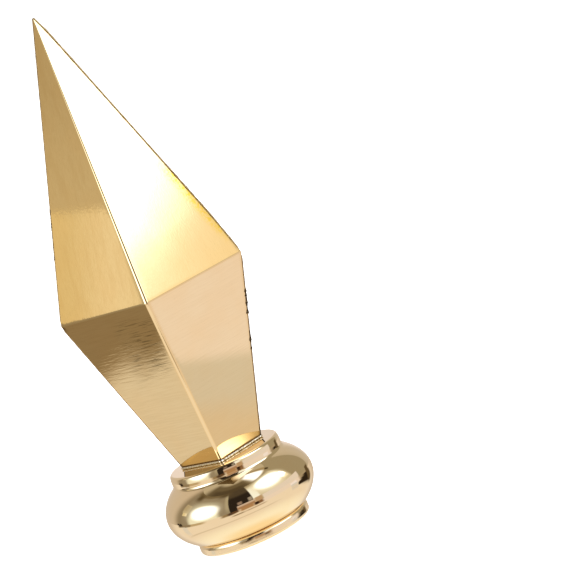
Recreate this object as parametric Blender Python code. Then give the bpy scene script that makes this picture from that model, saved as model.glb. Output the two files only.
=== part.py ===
"""Flagpole finial: a four-sided spear on a turned socket base.

Metres, +Z up. The origin is the centre of the foot ring's underside, on the axis of the pole.
"""
import math

import bmesh
import bpy

# Pole socket
POLE_DIAMETER = 0.0250
POLE_CLEARANCE = 0.0004
MOUTH_CHAMFER = 0.0006
LEDGE_THICKNESS = 0.0022

# Foot ring, the narrow band at the bottom
FOOT_WALL = 0.0037
FOOT_HEIGHT = 0.0036
FOOT_EDGE_RADIUS = 0.0010
FOOT_SHOULDER_RADIUS = 0.0013
GROOVE_WIDTH = 0.0003
GROOVE_DEPTH = 0.0014

# Bulge, a slice of a flattened ball
BULGE_OVERHANG = 0.0005
BULGE_PROJECTION = 0.0055
BULGE_HALF_HEIGHT = 0.0129

# Collar and ledge above the bulge. The collar's wall is slightly crowned.
COLLAR_WALL = 0.0037
COLLAR_HEIGHT = 0.0031
CROWN_RADIUS = 0.0073
CROWN_LOWER_ANGLE = math.radians(-5)
COVE_RADIUS = 0.0012
RIM_RADIUS = 0.0009

# Spear, a double pyramid with rounded edges
SPEAR_GAP = 0.0003
SPEAR_WIDTH = 0.0389
SPEAR_FOOT_WIDTH = 0.0171
SPEAR_LOWER_HEIGHT = 0.0500
SPEAR_UPPER_HEIGHT = 0.0815
SPEAR_EDGE_RADIUS = 0.0010
SPEAR_WAIST_RADIUS = 0.0015
SPEAR_TIP_RADIUS = 0.0002

# Smoothness of the round forms
TURNING_STEPS = 72
BULGE_STEPS = 11
EDGE_STEPS = 4
MERGE_DISTANCE = 0.00005

# Finish: colour, roughness
BRUSHED_GOLD = ((0.80, 0.60, 0.31, 1.0), 0.28)
POLISHED_GOLD = ((0.85, 0.64, 0.33, 1.0), 0.08)

# Radii of the base that follow from the pole
BORE_RADIUS = (POLE_DIAMETER + POLE_CLEARANCE) / 2
FOOT_RADIUS = BORE_RADIUS + FOOT_WALL
COLLAR_RADIUS = BORE_RADIUS + COLLAR_WALL
BULGE_RADIUS = COLLAR_RADIUS + BULGE_PROJECTION


def bulge_point(angle, centre_height):
    """Point of the bulge's outline, radius and height, at an angle above its widest line."""
    return (BULGE_RADIUS * math.cos(angle), centre_height + BULGE_HALF_HEIGHT * math.sin(angle))


def bulge_normal(angle):
    """Outward direction of the bulge's outline there."""
    across = math.cos(angle) / BULGE_RADIUS
    along = math.sin(angle) / BULGE_HALF_HEIGHT
    length = math.hypot(across, along)
    return (across / length, along / length)


def cove_angle():
    """Angle on the bulge where a cove tangent to it reaches the collar's wall too."""
    low, high = 0.0, math.pi / 2
    for _ in range(50):
        middle = (low + high) / 2
        centre_radius = bulge_point(middle, 0)[0] + COVE_RADIUS * bulge_normal(middle)[0]
        if centre_radius > COVE_CENTRE_RADIUS:
            low = middle
        else:
            high = middle
    return low


def arc(centre, radius, start, end, steps):
    """Points of an arc in the radius and height plane, its angles in radians from the radius axis."""
    angles = [start + (end - start) * step / steps for step in range(steps + 1)]
    return [(centre[0] + radius * math.cos(angle), centre[1] + radius * math.sin(angle)) for angle in angles]


# The collar's wall is a shallow arc, with the cove and the rim tangent to its ends.
CROWN_RISE = COLLAR_HEIGHT - RIM_RADIUS + (CROWN_RADIUS + COVE_RADIUS) * math.sin(CROWN_LOWER_ANGLE)
CROWN_UPPER_ANGLE = math.asin(CROWN_RISE / (CROWN_RADIUS - RIM_RADIUS))
CROWN_CENTRE_RADIUS = COLLAR_RADIUS - CROWN_RADIUS
COVE_CENTRE_RADIUS = CROWN_CENTRE_RADIUS + (CROWN_RADIUS + COVE_RADIUS) * math.cos(CROWN_LOWER_ANGLE)
RIM_CENTRE_RADIUS = CROWN_CENTRE_RADIUS + (CROWN_RADIUS - RIM_RADIUS) * math.cos(CROWN_UPPER_ANGLE)

BULGE_LOWER_ANGLE = -math.acos((FOOT_RADIUS + BULGE_OVERHANG) / BULGE_RADIUS)
BULGE_UPPER_ANGLE = cove_angle()
BULGE_CENTRE = FOOT_HEIGHT - BULGE_HALF_HEIGHT * math.sin(BULGE_LOWER_ANGLE)
COVE_HEIGHT = (
    bulge_point(BULGE_UPPER_ANGLE, BULGE_CENTRE)[1] + COVE_RADIUS * bulge_normal(BULGE_UPPER_ANGLE)[1]
)
CROWN_HEIGHT = COVE_HEIGHT - (CROWN_RADIUS + COVE_RADIUS) * math.sin(CROWN_LOWER_ANGLE)
LEDGE_HEIGHT = COVE_HEIGHT + COLLAR_HEIGHT
RIM_HEIGHT = LEDGE_HEIGHT - RIM_RADIUS
SOCKET_END = LEDGE_HEIGHT - LEDGE_THICKNESS


def rim_outline():
    """The ledge's rounded rim and the collar's crowned wall, down to the cove."""
    rim = arc((RIM_CENTRE_RADIUS, RIM_HEIGHT), RIM_RADIUS, math.pi / 2, CROWN_UPPER_ANGLE, EDGE_STEPS)
    crown = (CROWN_CENTRE_RADIUS, CROWN_HEIGHT)
    return rim + arc(crown, CROWN_RADIUS, CROWN_UPPER_ANGLE, CROWN_LOWER_ANGLE, EDGE_STEPS)[1:]


def cove_outline():
    """The hollow between the collar's wall and the bulge."""
    across, along = bulge_normal(BULGE_UPPER_ANGLE)
    start = CROWN_LOWER_ANGLE + math.pi
    end = math.atan2(along, across) + math.pi
    return arc((COVE_CENTRE_RADIUS, COVE_HEIGHT), COVE_RADIUS, start, end, EDGE_STEPS)[1:]


def bulge_outline():
    """The bulge from the end of the cove to its lip over the foot."""
    turn = BULGE_LOWER_ANGLE - BULGE_UPPER_ANGLE
    angles = [BULGE_UPPER_ANGLE + turn * step / (2 * BULGE_STEPS) for step in range(1, 2 * BULGE_STEPS + 1)]
    return [bulge_point(angle, BULGE_CENTRE) for angle in angles]


def foot_outline():
    """The groove under the bulge and the foot ring, down to its flat underside."""
    groove_radius = FOOT_RADIUS - GROOVE_DEPTH
    shoulder_top = FOOT_HEIGHT - GROOVE_WIDTH
    shoulder = (FOOT_RADIUS - FOOT_SHOULDER_RADIUS, shoulder_top - FOOT_SHOULDER_RADIUS)
    edge = (FOOT_RADIUS - FOOT_EDGE_RADIUS, FOOT_EDGE_RADIUS)
    return (
        [(groove_radius, FOOT_HEIGHT), (groove_radius, shoulder_top)]
        + arc(shoulder, FOOT_SHOULDER_RADIUS, math.pi / 2, 0, EDGE_STEPS - 1)
        + arc(edge, FOOT_EDGE_RADIUS, 0, -math.pi / 2, EDGE_STEPS)
    )


def socket_outline():
    """The chamfered mouth, the bore's wall and its closed end."""
    return [
        (BORE_RADIUS + MOUTH_CHAMFER, 0),
        (BORE_RADIUS, MOUTH_CHAMFER),
        (BORE_RADIUS, SOCKET_END),
        (0, SOCKET_END),
    ]


def rounded_square(half_width, corner_radius):
    """Corners of a square with rounded corners, one corner towards -Y, counter-clockwise from above."""
    points = []
    for corner in range(4):
        heading = math.radians(-90 + 90 * corner)
        reach = (half_width - corner_radius) * math.sqrt(2)
        centre = (reach * math.cos(heading), reach * math.sin(heading))
        points += arc(centre, corner_radius, heading - math.pi / 4, heading + math.pi / 4, EDGE_STEPS)
    return points


def spear_levels():
    """Half width, height and edge radius of each level of the spear, from its underside to its tip."""
    underside = LEDGE_HEIGHT + SPEAR_GAP
    waist = underside + SPEAR_LOWER_HEIGHT
    half_width = SPEAR_WIDTH / 2
    lower_lean = math.atan2(half_width - SPEAR_FOOT_WIDTH / 2, SPEAR_LOWER_HEIGHT)
    upper_lean = math.atan2(half_width, SPEAR_UPPER_HEIGHT)

    # The waist's arc is tangent to both slopes, which would meet in a sharp edge at the waist.
    half_turn = (lower_lean + upper_lean) / 2
    tilt = (upper_lean - lower_lean) / 2
    inset = SPEAR_WAIST_RADIUS / math.cos(half_turn)
    waist_centre = (half_width - inset * math.cos(tilt), waist - inset * math.sin(tilt))
    waist_arc = arc(waist_centre, SPEAR_WAIST_RADIUS, -lower_lean, upper_lean, EDGE_STEPS)

    # The tip's arc is tangent to the upper slope. The edges narrow to it, and it is round.
    apex = waist + SPEAR_UPPER_HEIGHT
    tip_centre = (0, apex - SPEAR_TIP_RADIUS / math.sin(upper_lean))
    tip_arc = arc(tip_centre, SPEAR_TIP_RADIUS, upper_lean, math.pi / 2, EDGE_STEPS)

    body = [(SPEAR_FOOT_WIDTH / 2, underside)] + waist_arc
    return [(width, height, SPEAR_EDGE_RADIUS) for width, height in body] + [
        (width, height, width) for width, height in tip_arc
    ]


def metal(name, finish):
    """A plain metal of one colour and roughness."""
    colour, roughness = finish
    material = bpy.data.materials.new(name)
    material.use_nodes = True
    shader = material.node_tree.nodes["Principled BSDF"]
    shader.inputs["Base Color"].default_value = colour
    shader.inputs["Metallic"].default_value = 1.0
    shader.inputs["Roughness"].default_value = roughness
    return material


def add_object(name, mesh, material):
    """An object of its own for one piece."""
    mesh.materials.append(material)
    piece = bpy.data.objects.new(name, mesh)
    bpy.context.collection.objects.link(piece)
    return piece


def make_socket_base():
    """Turn the base's outline about the pole's axis."""
    outline = [(0, LEDGE_HEIGHT)] + rim_outline() + cove_outline() + bulge_outline()
    outline += foot_outline() + socket_outline()
    mesh = bpy.data.meshes.new("socket_base")
    edges = [(index, index + 1) for index in range(len(outline) - 1)]
    mesh.from_pydata([(radius, 0, height) for radius, height in outline], edges, [])
    base = add_object("socket_base", mesh, metal("polished_gold", POLISHED_GOLD))
    turning = base.modifiers.new("turning", "SCREW")
    turning.axis = "Z"
    turning.steps = TURNING_STEPS
    turning.render_steps = TURNING_STEPS
    turning.use_merge_vertices = True
    turning.merge_threshold = MERGE_DISTANCE
    turning.use_smooth_shade = True
    return base


def make_spear():
    """Skin the spear's levels, each a square with rounded corners."""
    shape = bmesh.new()
    rings = []
    levels = spear_levels()
    for half_width, height, edge_radius in levels[:-1]:
        points = rounded_square(half_width, edge_radius)
        rings.append([shape.verts.new((x, y, height)) for x, y in points])
    for lower, upper in zip(rings, rings[1:]):
        for index in range(len(lower)):
            after = (index + 1) % len(lower)
            shape.faces.new((lower[index], lower[after], upper[after], upper[index]))
    shape.faces.new(reversed(rings[0]))
    tip = shape.verts.new((0, 0, levels[-1][1]))
    for index in range(len(rings[-1])):
        after = (index + 1) % len(rings[-1])
        shape.faces.new((rings[-1][index], rings[-1][after], tip))
    bmesh.ops.remove_doubles(shape, verts=shape.verts, dist=MERGE_DISTANCE / 10)
    mesh = bpy.data.meshes.new("spear")
    shape.to_mesh(mesh)
    shape.free()
    mesh.shade_smooth()
    mesh.set_sharp_from_angle(angle=math.radians(30))
    return add_object("spear", mesh, metal("brushed_gold", BRUSHED_GOLD))


def main():
    for leftover in list(bpy.data.objects):
        bpy.data.objects.remove(leftover, do_unlink=True)
    make_socket_base()
    make_spear()


main()
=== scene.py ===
"""Flagpole finial: its looks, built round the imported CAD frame.

Metres, +Z up, the pole's axis on Z. Headings are in degrees round that axis, from -Y towards +X.
"""
import math

import bpy
from mathutils import Euler, Matrix, Vector, noise

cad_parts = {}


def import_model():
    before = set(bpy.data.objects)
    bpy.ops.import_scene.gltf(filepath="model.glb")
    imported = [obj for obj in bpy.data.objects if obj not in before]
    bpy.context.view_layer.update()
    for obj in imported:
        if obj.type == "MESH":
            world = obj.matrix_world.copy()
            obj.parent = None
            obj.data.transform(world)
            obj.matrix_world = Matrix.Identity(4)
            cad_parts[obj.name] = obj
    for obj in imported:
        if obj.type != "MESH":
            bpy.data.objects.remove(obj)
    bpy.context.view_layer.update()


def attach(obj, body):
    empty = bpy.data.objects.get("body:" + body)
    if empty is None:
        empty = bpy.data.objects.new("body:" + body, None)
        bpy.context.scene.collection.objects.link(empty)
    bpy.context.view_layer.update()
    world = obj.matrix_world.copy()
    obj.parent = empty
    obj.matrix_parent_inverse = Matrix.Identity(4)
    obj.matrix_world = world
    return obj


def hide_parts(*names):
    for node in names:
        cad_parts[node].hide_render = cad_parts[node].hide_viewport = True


# Camera at the photograph's viewing angle
CAMERA_PLACE = (0.06203, -0.65152, 0.14927)
CAMERA_TURN = 2.375
CAMERA_PITCH = -7.806
CAMERA_ROLL = -23.13
CAMERA_LENS = 148.7
CAMERA_SENSOR = 36.0

# Spear, as in the CAD
SPEAR_WIDTH = 0.0389
SPEAR_FOOT_WIDTH = 0.0171
SPEAR_LOWER_HEIGHT = 0.0500
SPEAR_UPPER_HEIGHT = 0.0815
SPEAR_EDGE_RADIUS = 0.0010
SPEAR_WAIST_RADIUS = 0.0015
SPEAR_TIP_RADIUS = 0.0002
SPEAR_GAP = 0.0003

# Fineness of the spear's mesh
SPEAR_ROWS = 150
FACE_COLUMNS = 22
EDGE_COLUMNS = 16
ARC_ROWS = 8

# Hand finish of the spear: how sharp its creases are, and how far the edges and faces are off true
CREASE_SHARE = 0.5
FRONT_CREASE_SHARES = (1.1, 0.6)
CREASE_JOIN = math.radians(-10)
EDGE_BOW = 0.00040
EDGE_BOW_START = 0.0150
EDGE_BOW_END = 0.0060
FACE_DISH = 0.00001
FACE_DISH_SIZE = 0.012

# Upright edges of the spear, counted counter-clockwise from above
FRONT, RIGHT, LEFT = 0, 1, 3

# Seams where the sheets meet along the upright edges: size, share of it on each edge, and where they end
SEAM_RADIUS = 0.00021
SEAM_SHARES = (0.6, 1.4, 1.0, 1.0)
SEAM_OPEN = 0.0030
SEAM_END = 0.0004
SEAM_SIDES = 10
SEAM_FINENESS = 4

# How deep the seams are sunk at the waist, in shares of their size, and how far off most of that fades
SEAM_SUNK = 1.1
SEAM_SUNK_SPAN = (0.0003, 0.0020)

# Unevenness of the seams: its size, its waves for each metre, and how far apart the seams lie in the noise
SEAM_UNEVENNESS = 0.25
SEAM_WAVES = 500
SEAM_APART = 9.0

# Swell of the right seam above the waist: its size, where it starts and is full, and its end below the tip
SWELL = 0.20
SWELL_START = 0.001
SWELL_FULL = 0.006
SWELL_END = 0.008

# Burrs on the seams: side, start and end height, size, and the grain above which they are darker
BURRS = (
    (RIGHT, 0.0481, 0.0531, 0.00022, 0.36),
    (RIGHT, 0.0577, 0.0643, 0.00032, 0.36),
    (RIGHT, 0.0860, 0.1050, 0.00010, 0.56),
    (LEFT, 0.0920, 0.1060, 0.00012, 0.50),
)

# Lumps of the burrs: waves for each metre, places in the noise, the fine ones' share, and their lift
BURR_WAVES = 700
BURR_APART = 5.0
BURR_PLACE = 3.0
FINE_BURR_WAVES = 2600
FINE_BURR_PLACE = (1.0, 2.0)
FINE_BURR_SHARE = 0.6
BURR_LIFT = 0.35

# Solder joint between the spear and the ledge
JOINT_WIDTH = 0.00045
JOINT_HEIGHT = 0.00038
JOINT_RISE = 0.00008
JOINT_CLEARANCE = 0.00002
JOINT_STEPS = 70
JOINT_BEND_STEPS = 6
JOINT_SIDES = 10

# Lumps of the solder: their size at the front corner and elsewhere, and their waves for each metre
FRONT_JOINT_LUMPS = 0.30
JOINT_LUMPS = 0.08
JOINT_WAVES = 500
FINE_JOINT_WAVES = 1300
FINE_JOINT_SHARE = 0.4

# Base, as in the CAD
POLE_DIAMETER = 0.0250
POLE_CLEARANCE = 0.0004
MOUTH_CHAMFER = 0.0006
LEDGE_THICKNESS = 0.0022
FOOT_WALL = 0.0037
FOOT_HEIGHT = 0.0036
FOOT_EDGE_RADIUS = 0.0010
FOOT_SHOULDER_RADIUS = 0.0013
GROOVE_WIDTH = 0.0003
GROOVE_DEPTH = 0.0014
BULGE_OVERHANG = 0.0005
BULGE_PROJECTION = 0.0055
BULGE_HALF_HEIGHT = 0.0129
COLLAR_WALL = 0.0037
COLLAR_HEIGHT = 0.0031
CROWN_RADIUS = 0.0073
CROWN_LOWER_ANGLE = math.radians(-5)
COVE_RADIUS = 0.0012
RIM_RADIUS = 0.0009

# Fineness of the base's mesh
TURNING_STEPS = 256
BULGE_STEPS = 64
ARC_STEPS = 10
SHARP_ANGLE = math.radians(35)

# Gold as it looks, in linear light
SPEAR_GOLD = (0.93, 0.70, 0.37)
WARM_SPEAR_GOLD = (0.93, 0.675, 0.34)
MARKED_GOLD = (0.85, 0.62, 0.31)
STREAKED_GOLD = (0.84, 0.60, 0.29)
SCRATCHED_GOLD = (0.36, 0.26, 0.12)
# The front edge's painted highlight, lighter than the plating
EDGE_HIGHLIGHT_GOLD = (1.0, 0.80, 0.48)
YELLOW_GOLD = (0.90, 0.62, 0.08)
BASE_GOLD = (0.95, 0.79, 0.53)
WARM_BASE_GOLD = (0.95, 0.77, 0.50)

# Seams, solder and paper as they look, in linear light. A pair holds the tones between which a look varies
LEFT_SEAM_TONES = ((0.40, 0.29, 0.16), (0.52, 0.38, 0.20))
RIGHT_SEAM_TONES = ((0.42, 0.29, 0.12), (0.54, 0.38, 0.17))
# Near black: painted shade of the open gap at each seam's foot, and the darker burrs
GAP_SHADE_AND_BURR_DARK = (0.10, 0.07, 0.035)
SOLDER_TONES = ((0.95, 0.88, 0.72), (0.92, 0.82, 0.62))
# Dark: painted shade in the crease along the solder's top, and flux in its cracks
CREASE_SHADE_AND_FLUX = (0.20, 0.14, 0.07)
PAPER_WHITE = (0.86, 0.86, 0.86)
PAPER_LIGHT = 0.6

# Half the width over which looks change: at the waist, and from the spear's left half to its right one
WAIST_BLEND = 0.0005
SIDE_BLEND = 0.002

# Grains of the looks: how many for each metre, their detail, and how far they are drawn out in X, Y and Z
UPPER_BRUSH = dict(scale=2600.0, stretch=(1.0, 1.0, 0.04))
LOWER_BRUSH = dict(scale=2600.0, stretch=(0.05, 0.05, 1.0))
UPPER_WAVES = dict(scale=2400.0, detail=1.0, stretch=(1.0, 1.0, 0.45))
LOWER_WAVES = dict(scale=1700.0, detail=3.0, stretch=(0.09, 0.09, 1.0))
SCRATCH_LINES = dict(scale=5200.0, detail=2.0, stretch=(0.025, 0.025, 1.0))
STREAK_LINES = dict(scale=420.0, detail=2.0, stretch=(1.0, 1.0, 0.05))
BLOTCHES = dict(scale=1400.0, detail=4.0)
SPEAR_TONE = dict(scale=90.0)
SEAM_GRAIN = dict(scale=2400.0)
SOLDER_LUMPS = dict(scale=1500.0, detail=4.0)
SOLDER_CRACKS = dict(scale=420.0, detail=2.0)
BASE_TONE = dict(scale=160.0)

# Spans of those grains over which a look grows
TONE_SPAN = (0.35, 0.75)
MARK_SPAN = (0.30, 0.72)
SCRATCH_SPAN = (0.55, 0.66)
STREAK_SPAN = (0.48, 0.68)
BLOTCH_SPAN = (0.42, 0.60)
SEAM_SPAN = (0.40, 0.65)
BURR_SPAN = 0.08
SOLDER_SPAN = (0.35, 0.65)
CRACK_LINE = (0.492, 0.508)
CRACK_SOFT = 0.006

# Roughness: the span of grain over which it grows, then its lowest and highest value
SPEAR_ROUGHNESS = (0.40, 0.75, 0.030, 0.075)
SEAM_ROUGHNESS = (0.3, 0.7, 0.30, 0.45)
SOLDER_ROUGHNESS = (0.3, 0.7, 0.12, 0.28)
BASE_ROUGHNESS = (0.2, 0.8, 0.02, 0.05)
PAPER_ROUGHNESS = 0.9

# How strongly marks and streaks show, how faint they are on the right, and the least of the blotches
MARK_STRENGTH = 0.6
STREAK_STRENGTH = 0.45
RIGHT_MARK_SHARE = 0.5
RIGHT_STREAK_SHARE = 0.25
LEAST_BLOTCH = 0.35

# Waves that brushing left in the faces: unit of height, depth above and below the waist, and right share
WAVE_UNIT = 0.000001
UPPER_WAVE_DEPTH = 4.0
LOWER_WAVE_DEPTHS = (2.0, 13.0)
RIGHT_WAVE_SHARE = 0.15

# Where the lower waves are deepest: below the waist, and how far from there
BRUSHED_DEPTH = 0.017
BRUSHED_REACH = 0.012

# Zone of the dark scratches: across, and its lower and upper end below the waist
SCRATCHES_ACROSS = (-0.0115, -0.0006)
SCRATCHES_SOFT_ACROSS = 0.005
SCRATCHES_LOWEST = 0.0205
SCRATCHES_HIGHEST = 0.004
SCRATCHES_SOFT = 0.006

# The painted highlight on the front edge: across, its soft ends, and how near the spear's axis it fades out
EDGE_HIGHLIGHT_ACROSS = (-0.0005, 0.0003)
EDGE_HIGHLIGHT_SOFT = 0.0004
EDGE_HIGHLIGHT_FADE = 0.001

# The yellow patch: its reach from the right edge, and its lower and upper end above the waist
PATCH_REACH = (0.0004, 0.0028)
PATCH_LOWEST = 0.006
PATCH_HIGHEST = 0.030
PATCH_SOFT = 0.008

# Painted shade at the seams' open foot, and the darker burrs: the shaded share of the open foot, and the
# softness of that and of the burrs
GAP_SHADE_SHARE = 0.8
GAP_SHADE_SOFT = 0.0002
BURR_SOFT = 0.001

# Half the width over which the seams' two tones change
SEAM_BLEND = 0.001

# Solder: its top above its middle, painted dark as the shade of the crease, how far right its cracks start,
# and the depth of its grain
CREASE_SHADE_TOP = (0.00024, 0.00034)
CRACK_START = (0.001, 0.002)
SOLDER_GRAIN_DEPTH = 0.00004

# How much duller the foot ring is than the rest of the base, and half the width of that change
FOOT_DULLNESS = 0.10
FOOT_BLEND = 0.0002

# Studio tent that the metal mirrors. The object stood a little above the tent's floor.
TENT_RADIUS = 0.450
TENT_FLOOR = -0.032
TENT_CEILING = 0.790
TENT_SIDES = 180

# Spans of light and dark shapes in the tent that run past its ends
WHOLE_WALL = (-0.10, 0.80)
WALL_START = WHOLE_WALL[0]
FLOOR_END = 0.50
ALL_ROUND = (-181, 181)

# Pale floor under the object, and the light of the room
FLOOR_SIZE = 12.0
ROOM_LIGHT = 1.6


def linear(red, green, blue):
    """Linear light of a colour given as 0 to 255 in sRGB."""
    shares = [value / 255 for value in (red, green, blue)]
    return [value / 12.92 if value <= 0.04045 else ((value + 0.055) / 1.055) ** 2.4 for value in shares]


def mirrored(red, green, blue, gold=BASE_GOLD, gain=1.0):
    """Light that a gold surface shows as this colour."""
    return tuple(gain * light / tint for light, tint in zip(linear(red, green, blue), gold))


class Graph:
    """Short calls for one material's nodes. A value is a number or a socket."""

    def __init__(self, name):
        self.material = bpy.data.materials.new(name)
        self.material.use_nodes = True
        self.tree = self.material.node_tree
        self.tree.nodes.clear()
        self.output = self.tree.nodes.new("ShaderNodeOutputMaterial")

    def add(self, kind, **settings):
        node = self.tree.nodes.new(kind)
        for key, value in settings.items():
            setattr(node, key, value)
        return node

    def feed(self, socket, value):
        if isinstance(value, bpy.types.NodeSocket):
            self.tree.links.new(value, socket)
        elif socket.type == "RGBA" and len(value) == 3:
            socket.default_value = (*value, 1.0)
        else:
            socket.default_value = value

    def calculate(self, operation, first, second=0.0, third=0.0):
        """One step of arithmetic."""
        node = self.add("ShaderNodeMath", operation=operation)
        for socket, value in zip(node.inputs, (first, second, third)):
            self.feed(socket, value)
        return node.outputs[0]

    def times(self, first, second):
        return self.calculate("MULTIPLY", first, second)

    def minus(self, first, second):
        return self.calculate("SUBTRACT", first, second)

    def distance(self, across, along):
        """Length of the line that goes so far across and so far along."""
        squares = self.calculate("ADD", self.times(across, across), self.times(along, along))
        return self.calculate("SQRT", squares)

    def ramp(self, value, start, end, low=0.0, high=1.0):
        """Smooth step from low to high as value goes from start to end."""
        node = self.add("ShaderNodeMapRange", interpolation_type="SMOOTHSTEP")
        names = ("Value", "From Min", "From Max", "To Min", "To Max")
        for name, given in zip(names, (value, start, end, low, high)):
            self.feed(node.inputs[name], given)
        return node.outputs[0]

    def window(self, value, start, end, softness):
        """1 between start and end, 0 outside, with soft ends."""
        half = softness / 2
        rise = self.ramp(value, start - half, start + half)
        fall = self.ramp(value, end - half, end + half, 1.0, 0.0)
        return self.times(rise, fall)

    def sides(self, x, left, right):
        """The value left on the spear's left half, right on its right one."""
        return self.ramp(x, -SIDE_BLEND, SIDE_BLEND, left, right)

    def mix(self, below, above, share):
        """Colour above laid over colour below."""
        node = self.add("ShaderNodeMix", data_type="RGBA")
        self.feed(node.inputs[0], share)
        self.feed(node.inputs[6], below)
        self.feed(node.inputs[7], above)
        return node.outputs[2]

    def blend(self, low, high, share):
        """The value low where share is 0, high where it is 1."""
        node = self.add("ShaderNodeMix", data_type="FLOAT")
        self.feed(node.inputs[0], share)
        self.feed(node.inputs[2], low)
        self.feed(node.inputs[3], high)
        return node.outputs[0]

    def place(self):
        """X, Y and Z of the point in the object's own frame."""
        split = self.add("ShaderNodeSeparateXYZ")
        self.feed(split.inputs[0], self.add("ShaderNodeTexCoord").outputs["Object"])
        return split.outputs

    def grain(self, scale, detail=3.0, roughness=0.5, stretch=(1.0, 1.0, 1.0)):
        """Noise from 0 to 1, its size 1 / scale in metres."""
        mapping = self.add("ShaderNodeMapping")
        self.feed(mapping.inputs["Vector"], self.add("ShaderNodeTexCoord").outputs["Object"])
        mapping.inputs["Scale"].default_value = stretch
        node = self.add("ShaderNodeTexNoise")
        self.feed(node.inputs["Vector"], mapping.outputs[0])
        node.inputs["Scale"].default_value = scale
        node.inputs["Detail"].default_value = detail
        node.inputs["Roughness"].default_value = roughness
        return node.outputs["Fac"]

    def metal(self, colour, roughness, height=None, unit=1.0):
        """The finished material: bare metal of that colour and roughness, with bumps of that height."""
        shader = self.add("ShaderNodeBsdfPrincipled")
        shader.inputs["Metallic"].default_value = 1.0
        self.feed(shader.inputs["Base Color"], colour)
        self.feed(shader.inputs["Roughness"], roughness)
        if height is not None:
            bump = self.add("ShaderNodeBump")
            bump.inputs["Distance"].default_value = unit
            self.feed(bump.inputs["Height"], height)
            self.feed(shader.inputs["Normal"], bump.outputs[0])
        self.feed(self.output.inputs["Surface"], shader.outputs[0])
        return self.material


def arc(centre, radius, start, end, steps):
    """Points of an arc, its angles in radians from the first axis."""
    angles = [start + (end - start) * step / steps for step in range(steps + 1)]
    return [(centre[0] + radius * math.cos(angle), centre[1] + radius * math.sin(angle)) for angle in angles]


def direction(angle):
    """The level direction at an angle in radians from +X."""
    return Vector((math.cos(angle), math.sin(angle), 0))


def add_object(name, mesh, material):
    """A new object in the scene."""
    mesh.materials.append(material)
    added = bpy.data.objects.new(name, mesh)
    bpy.context.scene.collection.objects.link(added)
    return added


def add_piece(name, mesh, material):
    """A piece of the object, which rides on its only body."""
    piece = add_object(name, mesh, material)
    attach(piece, "root")
    return piece


def skin(name, rings, closed_start=True, closed_end=True):
    """A smooth mesh over rings of equal length, from the first to the last, with its ends closed or open."""
    points = [point for ring in rings for point in ring]
    size = len(rings[0])
    faces = []
    for row in range(len(rings) - 1):
        for column in range(size):
            after = (column + 1) % size
            low, high = row * size, (row + 1) * size
            faces.append((low + column, low + after, high + after, high + column))
    if closed_start:
        faces.append(tuple(reversed(range(size))))
    if closed_end:
        faces.append(tuple(range((len(rings) - 1) * size, len(rings) * size)))
    mesh = bpy.data.meshes.new(name)
    mesh.from_pydata(points, [], faces)
    mesh.shade_smooth()
    return mesh


def turned(name, outline):
    """A smooth mesh turned about Z. The outline gives radius and height, from the inside to the outside."""
    headings = [2 * math.pi * step / TURNING_STEPS for step in range(TURNING_STEPS)]
    rings = [[(r * math.cos(a), r * math.sin(a), z) for a in headings] for r, z in outline]
    return skin(name, rings)


# Profile of the base

BORE_RADIUS = (POLE_DIAMETER + POLE_CLEARANCE) / 2
FOOT_RADIUS = BORE_RADIUS + FOOT_WALL
COLLAR_RADIUS = BORE_RADIUS + COLLAR_WALL
BULGE_RADIUS = COLLAR_RADIUS + BULGE_PROJECTION
CROWN_RISE = COLLAR_HEIGHT - RIM_RADIUS + (CROWN_RADIUS + COVE_RADIUS) * math.sin(CROWN_LOWER_ANGLE)
CROWN_UPPER_ANGLE = math.asin(CROWN_RISE / (CROWN_RADIUS - RIM_RADIUS))
CROWN_CENTRE_RADIUS = COLLAR_RADIUS - CROWN_RADIUS
COVE_CENTRE_RADIUS = CROWN_CENTRE_RADIUS + (CROWN_RADIUS + COVE_RADIUS) * math.cos(CROWN_LOWER_ANGLE)
RIM_CENTRE_RADIUS = CROWN_CENTRE_RADIUS + (CROWN_RADIUS - RIM_RADIUS) * math.cos(CROWN_UPPER_ANGLE)


def bulge_normal(angle):
    """Outward direction of the bulge's outline at an angle above its widest line."""
    across = math.cos(angle) / BULGE_RADIUS
    along = math.sin(angle) / BULGE_HALF_HEIGHT
    length = math.hypot(across, along)
    return (across / length, along / length)


def cove_angle():
    """Angle on the bulge where a cove tangent to it reaches the collar's wall too."""
    low, high = 0.0, math.pi / 2
    for _ in range(50):
        middle = (low + high) / 2
        if BULGE_RADIUS * math.cos(middle) + COVE_RADIUS * bulge_normal(middle)[0] > COVE_CENTRE_RADIUS:
            low = middle
        else:
            high = middle
    return low


BULGE_LOWER_ANGLE = -math.acos((FOOT_RADIUS + BULGE_OVERHANG) / BULGE_RADIUS)
BULGE_UPPER_ANGLE = cove_angle()
BULGE_CENTRE = FOOT_HEIGHT - BULGE_HALF_HEIGHT * math.sin(BULGE_LOWER_ANGLE)
COVE_OUT, COVE_UP = bulge_normal(BULGE_UPPER_ANGLE)
COVE_HEIGHT = BULGE_CENTRE + BULGE_HALF_HEIGHT * math.sin(BULGE_UPPER_ANGLE) + COVE_RADIUS * COVE_UP
LEDGE_HEIGHT = COVE_HEIGHT + COLLAR_HEIGHT
CROWN_HEIGHT = COVE_HEIGHT - (CROWN_RADIUS + COVE_RADIUS) * math.sin(CROWN_LOWER_ANGLE)

# Heights of the spear
SPEAR_UNDERSIDE = LEDGE_HEIGHT + SPEAR_GAP
SPEAR_WAIST = SPEAR_UNDERSIDE + SPEAR_LOWER_HEIGHT
SPEAR_TIP = SPEAR_WAIST + SPEAR_UPPER_HEIGHT


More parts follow.
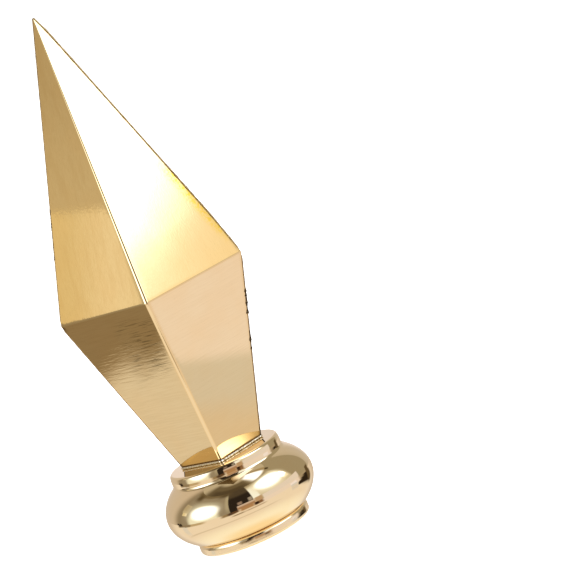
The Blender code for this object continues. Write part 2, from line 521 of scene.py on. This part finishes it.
def base_outline():
    """The base's outline, from the end of the bore down, round the foot and up to the ledge's middle."""
    bore_end = LEDGE_HEIGHT - LEDGE_THICKNESS
    shoulder_top = FOOT_HEIGHT - GROOVE_WIDTH
    bore = [(0.0, bore_end), (BORE_RADIUS, bore_end)]
    mouth = [(BORE_RADIUS, MOUTH_CHAMFER), (BORE_RADIUS + MOUTH_CHAMFER, 0.0)]
    edge_centre = (FOOT_RADIUS - FOOT_EDGE_RADIUS, FOOT_EDGE_RADIUS)
    edge = arc(edge_centre, FOOT_EDGE_RADIUS, -math.pi / 2, 0, ARC_STEPS)
    shoulder_centre = (FOOT_RADIUS - FOOT_SHOULDER_RADIUS, shoulder_top - FOOT_SHOULDER_RADIUS)
    shoulder = arc(shoulder_centre, FOOT_SHOULDER_RADIUS, 0, math.pi / 2, ARC_STEPS)
    groove = [(FOOT_RADIUS - GROOVE_DEPTH, shoulder_top), (FOOT_RADIUS - GROOVE_DEPTH, FOOT_HEIGHT)]
    turn = BULGE_UPPER_ANGLE - BULGE_LOWER_ANGLE
    angles = [BULGE_LOWER_ANGLE + turn * step / BULGE_STEPS for step in range(BULGE_STEPS + 1)]
    bulge = [(BULGE_RADIUS * math.cos(a), BULGE_CENTRE + BULGE_HALF_HEIGHT * math.sin(a)) for a in angles]
    cove_centre = (COVE_CENTRE_RADIUS, COVE_HEIGHT)
    cove_start = math.atan2(COVE_UP, COVE_OUT) + math.pi
    cove = arc(cove_centre, COVE_RADIUS, cove_start, math.pi + CROWN_LOWER_ANGLE, ARC_STEPS)[1:]
    crown_centre = (CROWN_CENTRE_RADIUS, CROWN_HEIGHT)
    crown = arc(crown_centre, CROWN_RADIUS, CROWN_LOWER_ANGLE, CROWN_UPPER_ANGLE, ARC_STEPS)[1:]
    rim_centre = (RIM_CENTRE_RADIUS, LEDGE_HEIGHT - RIM_RADIUS)
    rim = arc(rim_centre, RIM_RADIUS, CROWN_UPPER_ANGLE, math.pi / 2, ARC_STEPS)[1:]
    foot = edge + shoulder + groove
    return bore + mouth + foot + bulge + cove + crown + rim + [(0.0, LEDGE_HEIGHT)]


# Spear

def smooth_step(value, start, end):
    """0 up to start, 1 from end on, smooth between them."""
    share = min(1.0, max(0.0, (value - start) / (end - start)))
    return share * share * (3 - 2 * share)


def spear_profile():
    """Half width, height and edge radius along the spear, from its underside to its tip."""
    waist = SPEAR_WAIST
    half_width = SPEAR_WIDTH / 2
    lower_lean = math.atan2(half_width - SPEAR_FOOT_WIDTH / 2, SPEAR_LOWER_HEIGHT)
    upper_lean = math.atan2(half_width, SPEAR_UPPER_HEIGHT)
    half_turn = (lower_lean + upper_lean) / 2
    tilt = (upper_lean - lower_lean) / 2
    inset = SPEAR_WAIST_RADIUS / math.cos(half_turn)
    waist_centre = (half_width - inset * math.cos(tilt), waist - inset * math.sin(tilt))
    waist_arc = arc(waist_centre, SPEAR_WAIST_RADIUS, -lower_lean, upper_lean, ARC_ROWS)
    tip_centre = (0, SPEAR_TIP - SPEAR_TIP_RADIUS / math.sin(upper_lean))
    tip_arc = arc(tip_centre, SPEAR_TIP_RADIUS, upper_lean, math.pi / 2, ARC_ROWS)

    def straight(start, end, start_radius, end_radius):
        rows = max(2, round(SPEAR_ROWS * (end[1] - start[1]) / (SPEAR_LOWER_HEIGHT + SPEAR_UPPER_HEIGHT)))
        for row in range(1, rows):
            share = row / rows
            width = start[0] + (end[0] - start[0]) * share
            height = start[1] + (end[1] - start[1]) * share
            yield (width, height, start_radius + (end_radius - start_radius) * share)

    foot = (SPEAR_FOOT_WIDTH / 2, SPEAR_UNDERSIDE)
    levels = [(*foot, SPEAR_EDGE_RADIUS)]
    levels += straight(foot, waist_arc[0], SPEAR_EDGE_RADIUS, SPEAR_EDGE_RADIUS)
    levels += [(width, height, SPEAR_EDGE_RADIUS) for width, height in waist_arc]
    levels += straight(waist_arc[-1], tip_arc[0], SPEAR_EDGE_RADIUS, tip_arc[0][0])
    levels += [(width, height, width) for width, height in tip_arc[:-1]]
    return levels


def edge_heading(corner):
    """Angle of one upright edge in radians from +X. The first edge faces -Y."""
    return math.radians(-90 + 90 * corner)


def spear_bend(heading, half_width, first_radius, last_radius):
    """A corner of one level: an arc of one radius that runs on into an arc of another, between two faces."""
    start, end = heading - math.pi / 4, heading + math.pi / 4
    first_face, last_face = direction(start), direction(end)
    join = heading + CREASE_JOIN if first_radius != last_radius else heading
    facing = direction(join)
    shift = first_radius - last_radius
    centre = first_face * (half_width - first_radius)
    centre += last_face * (half_width - last_radius - shift * facing.dot(last_face))
    first_arc = arc(centre, first_radius, start, join, EDGE_COLUMNS // 2)
    last_arc = arc(centre + facing * shift, last_radius, join, end, EDGE_COLUMNS // 2)
    return first_arc + last_arc[1:]


def spear_ring(half_width, height, edge_radius):
    """One level of the spear: a square with rounded corners, the first towards -Y."""
    crease = edge_radius * CREASE_SHARE
    half_width -= (edge_radius - crease) * (1 - math.sqrt(0.5))
    bends = []
    for corner in range(4):
        shares = FRONT_CREASE_SHARES if corner == FRONT else (CREASE_SHARE, CREASE_SHARE)
        radii = [edge_radius * share for share in shares]
        bends.append(spear_bend(edge_heading(corner), half_width, *radii))
    ring = []
    for corner, bend in enumerate(bends):
        ring += bend
        start, end = Vector(bend[-1]), Vector(bends[(corner + 1) % 4][0])
        ring += [tuple(start.lerp(end, column / FACE_COLUMNS)) for column in range(1, FACE_COLUMNS)]
    return [hand_finished(Vector((x, y, height))) for x, y in ring]


def hand_finished(point):
    """The point moved a little, as filing and polishing by hand leave it."""
    face = max(abs(point.x + point.y), abs(point.x - point.y)) / math.sqrt(2)
    out = Vector((point.x, point.y, 0))
    if out.length == 0 or face == 0:
        return point
    dish = FACE_DISH * (1 + noise.noise(point / FACE_DISH_SIZE))
    moved = point - out.normalized() * dish
    bow = EDGE_BOW * smooth_step(point.z, SPEAR_WAIST, SPEAR_WAIST + EDGE_BOW_START)
    bow *= smooth_step(SPEAR_TIP - point.z, 0.0, EDGE_BOW_END)
    moved.x += bow * max(0.0, point.x / (face * math.sqrt(2)))
    return moved


def make_spear(material):
    """The spear's finished skin, in place of the CAD one."""
    rings = [spear_ring(*level) for level in spear_profile()]
    piece = add_piece("spear_finish", skin("spear_finish", rings), material)
    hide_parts("spear")


def ripple(height, waves, place):
    """Noise from -1 to 1 along a seam, at a place of its own."""
    return noise.noise(Vector((height * waves, *place)))


def seam_radius(corner, height):
    """The seam's radius at a height: fine and uneven, with burrs in places."""
    unevenness = SEAM_UNEVENNESS * ripple(height, SEAM_WAVES, (corner * SEAM_APART, 0))
    radius = SEAM_RADIUS * SEAM_SHARES[corner] * (1 + unevenness)
    if corner == RIGHT:
        swell = smooth_step(height, SPEAR_WAIST + SWELL_START, SPEAR_WAIST + SWELL_FULL)
        radius *= 1 + SWELL * (swell * smooth_step(SPEAR_TIP - height, 0.0, SWELL_END))
    for side, start, end, size, _ in BURRS:
        if side == corner and start < height < end:
            lump = ripple(height, BURR_WAVES, (corner * BURR_APART, BURR_PLACE))
            lump += FINE_BURR_SHARE * ripple(height, FINE_BURR_WAVES, FINE_BURR_PLACE)
            radius += size * max(0.0, lump + BURR_LIFT)
    return radius


def seam_levels(highest):
    """The spear's levels up to a height, with more of them between each two."""
    levels = [level for level in spear_profile() if level[1] < highest]
    closer = []
    for first, second in zip(levels, levels[1:]):
        for step in range(SEAM_FINENESS):
            closer.append(tuple(a + (b - a) * step / SEAM_FINENESS for a, b in zip(first, second)))
    return closer + [levels[-1]]


def make_seams(material):
    """Fine raised seams along the spear's upright edges. The front one is polished away but at the foot."""
    turns = [2 * math.pi * side / SEAM_SIDES for side in range(SEAM_SIDES)]
    for corner in range(4):
        outward = direction(edge_heading(corner))
        aside = Vector((-outward.y, outward.x, 0))
        highest = SPEAR_UNDERSIDE + SEAM_OPEN if corner == FRONT else SPEAR_TIP - SEAM_END
        rings = []
        for half_width, height, edge_radius in seam_levels(highest):
            radius = seam_radius(corner, height)
            reach = half_width * math.sqrt(2) - edge_radius * (math.sqrt(2) - 1)
            apex = hand_finished(outward * reach + Vector((0, 0, height)))
            sunk = radius * (SEAM_SUNK - smooth_step(abs(height - SPEAR_WAIST), *SEAM_SUNK_SPAN))
            centre = apex - outward * sunk
            rings.append([centre + (outward * math.cos(a) + aside * math.sin(a)) * radius for a in turns])
        name = "edge_seam_%d" % (corner + 1)
        piece = add_piece(name, skin(name, rings), material)


def joint_stations(corner):
    """Points of the bead round one corner and along the face after it, each with its outward direction."""
    middle = SPEAR_UNDERSIDE + JOINT_RISE
    crease = SPEAR_EDGE_RADIUS * CREASE_SHARE
    half = SPEAR_FOOT_WIDTH / 2 - crease
    heading = edge_heading(corner)
    facing = heading + math.pi / 4
    reach = half * math.sqrt(2)
    centre = (reach * math.cos(heading), reach * math.sin(heading))
    bend = arc(centre, crease, heading - math.pi / 4, facing, JOINT_BEND_STEPS)
    stations = []
    for x, y in bend:
        stations.append((Vector((x, y, middle)), Vector((x - centre[0], y - centre[1], 0)).normalized()))
    outward = direction(facing)
    across = Vector((-outward.y, outward.x, 0))
    start = Vector((*bend[-1], middle))
    for step in range(1, JOINT_STEPS):
        stations.append((start + across * (2 * half * step / JOINT_STEPS), outward))
    return stations


def make_joint(material):
    """The bead of solder round the spear's foot, uneven where it was laid by hand."""
    turns = [2 * math.pi * side / JOINT_SIDES for side in range(JOINT_SIDES)]
    lowest = LEDGE_HEIGHT + JOINT_CLEARANCE
    rings = []
    for corner in range(4):
        lumps = FRONT_JOINT_LUMPS if corner == FRONT else JOINT_LUMPS
        for place, outward in joint_stations(corner):
            swell = 1 + lumps * noise.noise(place * JOINT_WAVES)
            swell += FINE_JOINT_SHARE * lumps * noise.noise(place * FINE_JOINT_WAVES)
            ring = []
            for a in turns:
                offset = outward * math.cos(a) * JOINT_WIDTH + Vector((0, 0, math.sin(a) * JOINT_HEIGHT))
                point = place + offset * swell
                ring.append(Vector((point.x, point.y, max(point.z, lowest))))
            rings.append(ring)
    piece = add_piece("solder_joint", skin("solder_joint", rings + [rings[0]], False, False), material)


# Base

def make_base(material):
    """The base's finished skin, in place of the CAD one."""
    piece = add_piece("socket_base_finish", turned("socket_base_finish", base_outline()), material)
    piece.data.set_sharp_from_angle(angle=SHARP_ANGLE)
    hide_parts("socket_base")


# Materials

def spear_waves(graph, x, height, upper):
    """Height of the waves that brushing left in the faces, deepest round the middle of the lower half."""
    deepest = SPEAR_WAIST - BRUSHED_DEPTH
    deep = graph.window(height, deepest - BRUSHED_REACH, deepest + BRUSHED_REACH, BRUSHED_REACH)
    upright = graph.times(graph.grain(**UPPER_WAVES), UPPER_WAVE_DEPTH)
    depth = graph.ramp(deep, 0.0, 1.0, *LOWER_WAVE_DEPTHS)
    depth = graph.times(depth, graph.sides(x, 1.0, RIGHT_WAVE_SHARE))
    level = graph.times(graph.grain(**LOWER_WAVES), depth)
    return graph.blend(level, upright, upper)


def scratches(graph, x, height):
    """Share of the fine dark scratches between the deepest waves, left of the front edge."""
    lines = graph.ramp(graph.grain(**SCRATCH_LINES), *SCRATCH_SPAN)
    lowest, highest = SPEAR_WAIST - SCRATCHES_LOWEST, SPEAR_WAIST - SCRATCHES_HIGHEST
    zone = graph.window(x, *SCRATCHES_ACROSS, SCRATCHES_SOFT_ACROSS)
    zone = graph.times(zone, graph.window(height, lowest, highest, SCRATCHES_SOFT))
    return graph.times(lines, zone)


def streaks(graph, x, upper):
    """Share of the broad upright streaks above the waist, fainter on the right."""
    streak = graph.ramp(graph.grain(**STREAK_LINES), *STREAK_SPAN, 0.0, STREAK_STRENGTH)
    return graph.times(graph.times(streak, graph.sides(x, 1.0, RIGHT_STREAK_SHARE)), upper)


def painted_edge_highlight(graph, x, y, upper):
    """Share of the painted highlight on the front edge below the waist."""
    highlight_share = graph.window(x, *EDGE_HIGHLIGHT_ACROSS, EDGE_HIGHLIGHT_SOFT)
    highlight_share = graph.times(highlight_share, graph.ramp(y, -EDGE_HIGHLIGHT_FADE, EDGE_HIGHLIGHT_FADE, 1.0, 0.0))
    return graph.times(highlight_share, graph.minus(1.0, upper))


def yellow_patch(graph, x, height):
    """Share of the yellow, blotched patch beside the right upper edge."""
    reach = SPEAR_WIDTH / 2 * math.sqrt(2)
    drawn_in = graph.times(graph.minus(height, SPEAR_WAIST), reach / SPEAR_UPPER_HEIGHT)
    from_edge = graph.minus(graph.minus(reach, drawn_in), x)
    patch = graph.ramp(from_edge, *PATCH_REACH, 1.0, 0.0)
    lowest, highest = SPEAR_WAIST + PATCH_LOWEST, SPEAR_WAIST + PATCH_HIGHEST
    patch = graph.times(patch, graph.window(height, lowest, highest, PATCH_SOFT))
    return graph.times(patch, graph.ramp(graph.grain(**BLOTCHES), *BLOTCH_SPAN, LEAST_BLOTCH, 1.0))


def brushed_gold():
    """The spear's plated gold: bright, with fine brush marks that stretch and break what it mirrors."""
    graph = Graph("spear_gold")
    x, y, height = graph.place()
    upper = graph.ramp(height, SPEAR_WAIST - WAIST_BLEND, SPEAR_WAIST + WAIST_BLEND)

    # Brush marks run upright above the waist and level below it
    marks = graph.blend(graph.grain(**LOWER_BRUSH), graph.grain(**UPPER_BRUSH), upper)

    # The plating is warmer in places, and the marks show in it faintly
    plating = graph.mix(SPEAR_GOLD, WARM_SPEAR_GOLD, graph.ramp(graph.grain(**SPEAR_TONE), *TONE_SPAN))
    faint = graph.ramp(marks, *MARK_SPAN, 0.0, MARK_STRENGTH)
    plating = graph.mix(plating, MARKED_GOLD, graph.times(faint, graph.sides(x, 1.0, RIGHT_MARK_SHARE)))

    # Over it lie the scratches and streaks, the painted highlight on the front edge and the yellow patch
    plating = graph.mix(plating, SCRATCHED_GOLD, scratches(graph, x, height))
    plating = graph.mix(plating, STREAKED_GOLD, streaks(graph, x, upper))
    # Painted highlight: lighter gold along the front edge below the waist
    plating = graph.mix(plating, EDGE_HIGHLIGHT_GOLD, painted_edge_highlight(graph, x, y, upper))
    plating = graph.mix(plating, YELLOW_GOLD, yellow_patch(graph, x, height))
    roughness = graph.ramp(marks, *SPEAR_ROUGHNESS)
    return graph.metal(plating, roughness, spear_waves(graph, x, height, upper), WAVE_UNIT)


def seam_gold():
    """The seams' duller gold, with painted shade of an open gap at the foot, and darker on the burrs."""
    graph = Graph("seam_gold")
    x, _, height = graph.place()
    grain = graph.grain(**SEAM_GRAIN)
    left = graph.mix(*LEFT_SEAM_TONES, graph.ramp(grain, *SEAM_SPAN))
    right = graph.mix(*RIGHT_SEAM_TONES, graph.ramp(grain, *SEAM_SPAN))
    upper = graph.ramp(height, SPEAR_WAIST - SEAM_BLEND, SPEAR_WAIST + SEAM_BLEND)
    tone = graph.mix(left, right, graph.times(upper, graph.ramp(x, -SEAM_BLEND, SEAM_BLEND)))
    # The foot of each seam is painted near black, as the shade of an open gap
    opening = SPEAR_UNDERSIDE + SEAM_OPEN * GAP_SHADE_SHARE
    gap_shade_and_dark_burrs = graph.ramp(height, opening - GAP_SHADE_SOFT, opening + GAP_SHADE_SOFT, 1.0, 0.0)
    for corner, start, end, _, level in BURRS:
        side = graph.sides(x, *((0.0, 1.0) if corner == RIGHT else (1.0, 0.0)))
        burr = graph.times(graph.window(height, start, end, BURR_SOFT), side)
        burr = graph.times(burr, graph.ramp(grain, level, level + BURR_SPAN))
        gap_shade_and_dark_burrs = graph.calculate("MAXIMUM", gap_shade_and_dark_burrs, burr)
    colour = graph.mix(tone, GAP_SHADE_AND_BURR_DARK, gap_shade_and_dark_burrs)
    return graph.metal(colour, graph.ramp(grain, *SEAM_ROUGHNESS))


def solder():
    """Pale plated solder, with painted shade in the crease along its top and dark flux in its cracks."""
    graph = Graph("solder")
    x, _, height = graph.place()
    middle = SPEAR_UNDERSIDE + JOINT_RISE
    lumps = graph.grain(**SOLDER_LUMPS)
    pale = graph.mix(*SOLDER_TONES, graph.ramp(lumps, *SOLDER_SPAN))
    # Painted shade where the solder's top meets the spear's faces
    crease_shade = graph.ramp(height, middle + CREASE_SHADE_TOP[0], middle + CREASE_SHADE_TOP[1])
    crack = graph.window(graph.grain(**SOLDER_CRACKS), *CRACK_LINE, CRACK_SOFT)
    crack = graph.times(crack, graph.ramp(x, *CRACK_START))
    colour = graph.mix(pale, CREASE_SHADE_AND_FLUX, graph.calculate("MAXIMUM", crease_shade, crack))
    return graph.metal(colour, graph.ramp(lumps, *SOLDER_ROUGHNESS), lumps, SOLDER_GRAIN_DEPTH)


def polished_gold():
    """The base's turned and polished gold, a little duller on the foot ring."""
    graph = Graph("base_gold")
    tone = graph.grain(**BASE_TONE)
    colour = graph.mix(BASE_GOLD, WARM_BASE_GOLD, graph.ramp(tone, *TONE_SPAN))
    foot = graph.ramp(graph.place()[2], FOOT_HEIGHT - FOOT_BLEND, FOOT_HEIGHT + FOOT_BLEND, 1.0, 0.0)
    polish = graph.ramp(tone, *BASE_ROUGHNESS)
    return graph.metal(colour, graph.calculate("MULTIPLY_ADD", foot, FOOT_DULLNESS, polish))


def white_paper():
    """The pale floor, lit from within like a light table, so that shadows on it stay faint."""
    graph = Graph("white_paper")
    shader = graph.add("ShaderNodeBsdfPrincipled")
    graph.feed(shader.inputs["Base Color"], PAPER_WHITE)
    graph.feed(shader.inputs["Roughness"], PAPER_ROUGHNESS)
    graph.feed(shader.inputs["Specular IOR Level"], 0.0)
    graph.feed(shader.inputs["Emission Color"], (1.0, 1.0, 1.0))
    graph.feed(shader.inputs["Emission Strength"], PAPER_LIGHT)
    graph.feed(graph.output.inputs["Surface"], shader.outputs[0])
    return graph.material


# Studio

def card(headings, span, colour, soft):
    """A flat light or dark shape: its headings, its span of height or radius, its light and its soft edge."""
    return {"headings": headings, "span": span, "colour": colour, "soft": soft}


def glow(heading, middle, reach, colour, core):
    """A soft round light: its centre, its reach in heading and in height, and the full share of it."""
    return {"heading": heading, "middle": middle, "reach": reach, "colour": colour, "core": core}


def wall_shapes():
    """What hangs on the tent's wall, later shapes over earlier ones. Spans run past the wall's own ends."""
    return [
        # Behind the object
        card((-181, -100), WHOLE_WALL, mirrored(204, 176, 136), (30, 0.02)),
        card((138, 181), WHOLE_WALL, mirrored(198, 173, 134), (24, 0.02)),
        card((-181, -164), WHOLE_WALL, mirrored(236, 208, 172), (20, 0.02)),
        card((166, 181), WHOLE_WALL, mirrored(236, 208, 172), (20, 0.02)),
        # Left softbox and its dark frame
        card((-113, -10), WHOLE_WALL, mirrored(118, 96, 60), (26, 0.02)),
        card((-108, -8), (WALL_START, 0.66), mirrored(150, 129, 95), (22, 0.12)),
        card((-104, -90), (0.201, 0.36), mirrored(196, 162, 104, gold=SPEAR_GOLD), (4, 0.004)),
        card((-104, -90), (0.235, 0.36), mirrored(180, 147, 92, gold=SPEAR_GOLD), (4, 0.06)),
        card((-102, -92), (0.144, 0.201), mirrored(224, 185, 113, gold=SPEAR_GOLD), (3, 0.004)),
        card((-96, -92.6), (0.144, 0.201), mirrored(244, 207, 142, gold=SPEAR_GOLD), (3, 0.004)),
        card((-99, -82), (0.52, 0.74), mirrored(92, 72, 40), (14, 0.16)),
        card((-23, -16), (0.06, 0.66), mirrored(176, 156, 116), (5, 0.2)),
        glow(-62, 0.230, (42, 0.34), mirrored(216, 200, 160), 0.3),
        card((-88, -36), (WALL_START, 0.130), mirrored(240, 224, 180), (10, 0.12)),
        glow(-59, 0.195, (31, 0.225), mirrored(255, 248, 230, gain=2.6), 0.3),
        # Right softbox
        card((19.5, 138), WHOLE_WALL, mirrored(160, 138, 98), (2, 0.02)),
        card((19.5, 92), (0.02, 0.66), mirrored(214, 192, 148), (6, 0.24)),
        card((19.5, 31), (0.02, 0.52), mirrored(250, 240, 208), (4, 0.24)),
        glow(59, 0.400, (42, 0.42), mirrored(244, 226, 184), 0.5),
        card((79, 90), (0.15, 0.36), mirrored(253, 217, 151, gold=SPEAR_GOLD), (3, 0.03)),
        glow(60, 0.405, (33, 0.29), mirrored(255, 248, 230, gain=2.6), 0.35),
        card((79, 85.5), (0.218, 0.40), mirrored(255, 248, 230, gain=2.7), (5, 0.125)),
        card((79, 90), (0.2275, 0.36), mirrored(255, 248, 230, gain=2.7), (3, 0.062)),
        card((100, 108), (0.68, 0.80), mirrored(70, 52, 20), (5, 0.06)),
        card((34, 103), (WALL_START, 0.088), mirrored(228, 205, 175), (3, 0.012)),
        # Dark gap between the softboxes, where the camera stands
        card((-17.5, 19.5), WHOLE_WALL, mirrored(78, 62, 40), (2, 0.02)),
        card((-38, -12), (0.58, 0.84), mirrored(92, 73, 44), (22, 0.20)),
        card((-17.5, 19.5), (WALL_START, 0.42), mirrored(44, 33, 22), (2, 0.14)),
        card((-4, 3), (0.100, 0.180), mirrored(146, 118, 92), (3, 0.03)),
        card((13, 19), (0.090, 0.200), mirrored(160, 140, 112), (3, 0.03)),
        card((-6, 21), (WALL_START, 0.076), mirrored(206, 174, 140), (2, 0.012)),
        card((-6, 21), (WALL_START, 0.030), mirrored(168, 122, 78), (3, 0.04)),
        card((21, 33), (WALL_START, 0.100), mirrored(186, 146, 100), (4, 0.03)),
        # Low on the wall, what stands behind the floor's edge
        card((-114, -109), (WALL_START, -0.004), mirrored(46, 32, 18), (2, 0.010)),
        card((-108, -104), (WALL_START, -0.004), mirrored(46, 32, 18), (2, 0.010)),
        card((125, 134), (WALL_START, 0.010), mirrored(96, 74, 42), (3, 0.02)),
    ]


def floor_shapes():
    """What lies on the tent's floor."""
    return [
        card((-181, -130), (0.05, FLOOR_END), mirrored(206, 176, 134), (30, 0.06)),
        card((144, 181), (0.05, FLOOR_END), mirrored(206, 176, 134), (30, 0.06)),
        card((30, 110), (0.150, FLOOR_END), mirrored(234, 207, 174), (6, 0.06)),
        # Left, beside and on the dark board
        card((-92, -60), (0.210, FLOOR_END), mirrored(190, 158, 108), (14, 0.05)),
        card((-104, -93), (0.08, 0.240), mirrored(221, 193, 145, gold=SPEAR_GOLD), (4, 0.04)),
        card((-112, -86), (0.234, FLOOR_END), mirrored(142, 113, 70, gold=SPEAR_GOLD), (6, 0.030)),
        card((-98.5, -86), (0.214, FLOOR_END), mirrored(142, 113, 70, gold=SPEAR_GOLD), (4, 0.030)),
        card((-112, -103), (0.306, FLOOR_END), mirrored(50, 36, 20), (3, 0.012)),
        # Front
        card((-32, -8), (0.180, FLOOR_END), mirrored(150, 120, 76), (8, 0.06)),
        card((-22, -13), (0.180, FLOOR_END), mirrored(84, 60, 38), (7, 0.06)),
        card((-15, -5), (0.200, FLOOR_END), mirrored(96, 64, 34), (6, 0.05)),
        card((-3, 18), (0.170, FLOOR_END), mirrored(174, 126, 76), (6, 0.06)),
        card((18, 32), (0.165, FLOOR_END), mirrored(132, 92, 54), (5, 0.05)),
        card((19, 25), (0.175, FLOOR_END), mirrored(54, 34, 18), (3, 0.05)),
        card((-16, 2), (0.112, 0.136), mirrored(150, 122, 84), (10, 0.02)),
        card((4, 34), (0.112, 0.134), mirrored(182, 150, 112), (10, 0.02)),
        card((-100, 50), (0.066, 0.072), mirrored(214, 186, 144), (30, 0.006)),
        # Right, the pale table and the dark wedge
        card((80, 94), (0.09, 0.182), mirrored(215, 191, 150, gold=SPEAR_GOLD), (3, 0.012)),
        card((80, 94), (0.09, 0.136), mirrored(221, 188, 138, gold=SPEAR_GOLD), (3, 0.030)),
        card((80, 93.5), (0.176, 0.30), mirrored(239, 209, 169, gold=SPEAR_GOLD), (3, 0.012)),
        card((102, 136), (0.130, FLOOR_END), mirrored(168, 142, 102), (8, 0.04)),
        card((95, 132), (0.102, 0.134), mirrored(46, 33, 18), (2, 0.014)),
        card((97, 132), (0.102, 0.150), mirrored(46, 33, 18), (4, 0.02)),
        card((104, 134), (0.104, 0.195), mirrored(46, 33, 18), (10, 0.05)),
        card((112, 134), (0.104, 0.270), mirrored(46, 33, 18), (12, 0.06)),
        card((124, 134), (0.104, FLOOR_END), mirrored(96, 74, 42), (4, 0.05)),
        # Close to the foot
        card(ALL_ROUND, (-1, 0.045), mirrored(255, 232, 184), (2, 0.04)),
        card(ALL_ROUND, (-1, 0.020), mirrored(254, 216, 150), (2, 0.02)),
    ]


def ceiling_shapes():
    """What the tent's ceiling shows."""
    return [
        card((-92, 44), (0.16, FLOOR_END), mirrored(106, 86, 54), (30, 0.10)),
        card((-70, 24), (0.30, FLOOR_END), mirrored(84, 66, 40), (30, 0.10)),
        card((52, 100), (0.14, 0.42), mirrored(255, 248, 232, gain=1.5), (24, 0.08)),
        card((100, 113), (0.16, FLOOR_END), mirrored(164, 134, 86), (8, 0.05)),
    ]


def painted_light(name, backdrop, shapes, along_radius):
    """A light-giving material with those shapes, placed by heading and by height or radius."""
    graph = Graph(name)
    x, y, z = graph.place()
    heading = graph.calculate("DEGREES", graph.calculate("ARCTAN2", x, graph.times(y, -1.0)))
    along = graph.distance(x, y) if along_radius else z
    colour = backdrop
    for shape in shapes:
        if "core" in shape:
            across = graph.calculate("DIVIDE", graph.minus(heading, shape["heading"]), shape["reach"][0])
            up = graph.calculate("DIVIDE", graph.minus(along, shape["middle"]), shape["reach"][1])
            share = graph.ramp(graph.distance(across, up), shape["core"], 1.0, 1.0, 0.0)
        else:
            sideways = graph.window(heading, *shape["headings"], shape["soft"][0])
            share = graph.times(sideways, graph.window(along, *shape["span"], shape["soft"][1]))
        colour = graph.mix(colour, shape["colour"], share)
    light = graph.add("ShaderNodeEmission")
    graph.feed(light.inputs["Color"], colour)
    graph.feed(graph.output.inputs["Surface"], light.outputs[0])
    return graph.material


def add_stage(name, mesh, material):
    """A thing of the studio, which isn't part of the object."""
    piece = add_object(name, mesh, material)
    return piece


def only_mirrored(piece):
    """The piece shows in reflections alone."""
    piece.visible_camera = False
    piece.visible_diffuse = False
    piece.visible_shadow = False
    piece.visible_transmission = False
    piece.visible_volume_scatter = False


def make_tent():
    """The round studio tent: wall, floor and ceiling, seen by the metal alone."""
    headings = [2 * math.pi * side / TENT_SIDES for side in range(TENT_SIDES)]
    rims = {z: [(TENT_RADIUS * math.cos(a), TENT_RADIUS * math.sin(a), z) for a in headings]
            for z in (TENT_FLOOR, TENT_CEILING)}
    wall = skin("tent_wall", list(rims.values()), False, False)
    only_mirrored(add_stage("tent_wall", wall, painted_light(
        "tent_wall", mirrored(178, 156, 116), wall_shapes(), False)))
    for name, height, backdrop, shapes in (
        ("tent_floor", TENT_FLOOR, mirrored(238, 210, 168), floor_shapes()),
        ("tent_ceiling", TENT_CEILING, mirrored(190, 166, 124), ceiling_shapes()),
    ):
        disc = bpy.data.meshes.new(name)
        disc.from_pydata(rims[height], [], [tuple(range(TENT_SIDES))])
        only_mirrored(add_stage(name, disc, painted_light(name, backdrop, shapes, True)))


def make_floor():
    """The plain pale floor."""
    half = FLOOR_SIZE / 2
    mesh = bpy.data.meshes.new("floor")
    corners = [(-half, -half, 0), (half, -half, 0), (half, half, 0), (-half, half, 0)]
    mesh.from_pydata(corners, [], [(0, 1, 2, 3)])
    floor = add_stage("floor", mesh, white_paper())
    floor.visible_glossy = False


def make_room():
    """Even white light from all round."""
    world = bpy.data.worlds.new("room")
    world.use_nodes = True
    background = world.node_tree.nodes["Background"]
    background.inputs["Color"].default_value = (1.0, 1.0, 1.0, 1.0)
    background.inputs["Strength"].default_value = ROOM_LIGHT
    bpy.context.scene.world = world


def make_camera():
    """The camera, rolled to give the photograph's slant."""
    data = bpy.data.cameras.new("camera")
    data.lens = CAMERA_LENS
    data.sensor_width = CAMERA_SENSOR
    camera = bpy.data.objects.new("camera", data)
    turn = Euler((math.radians(90 + CAMERA_PITCH), 0, math.radians(CAMERA_TURN))).to_matrix()
    aim = turn @ Matrix.Rotation(math.radians(CAMERA_ROLL), 3, "Z")
    camera.matrix_world = Matrix.Translation(CAMERA_PLACE) @ aim.to_4x4()
    bpy.context.scene.collection.objects.link(camera)
    bpy.context.scene.camera = camera


def main():
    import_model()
    make_camera()
    make_room()
    make_floor()
    make_tent()
    make_spear(brushed_gold())
    make_seams(seam_gold())
    make_joint(solder())
    make_base(polished_gold())
    bpy.context.scene.view_settings.view_transform = "Standard"


main()
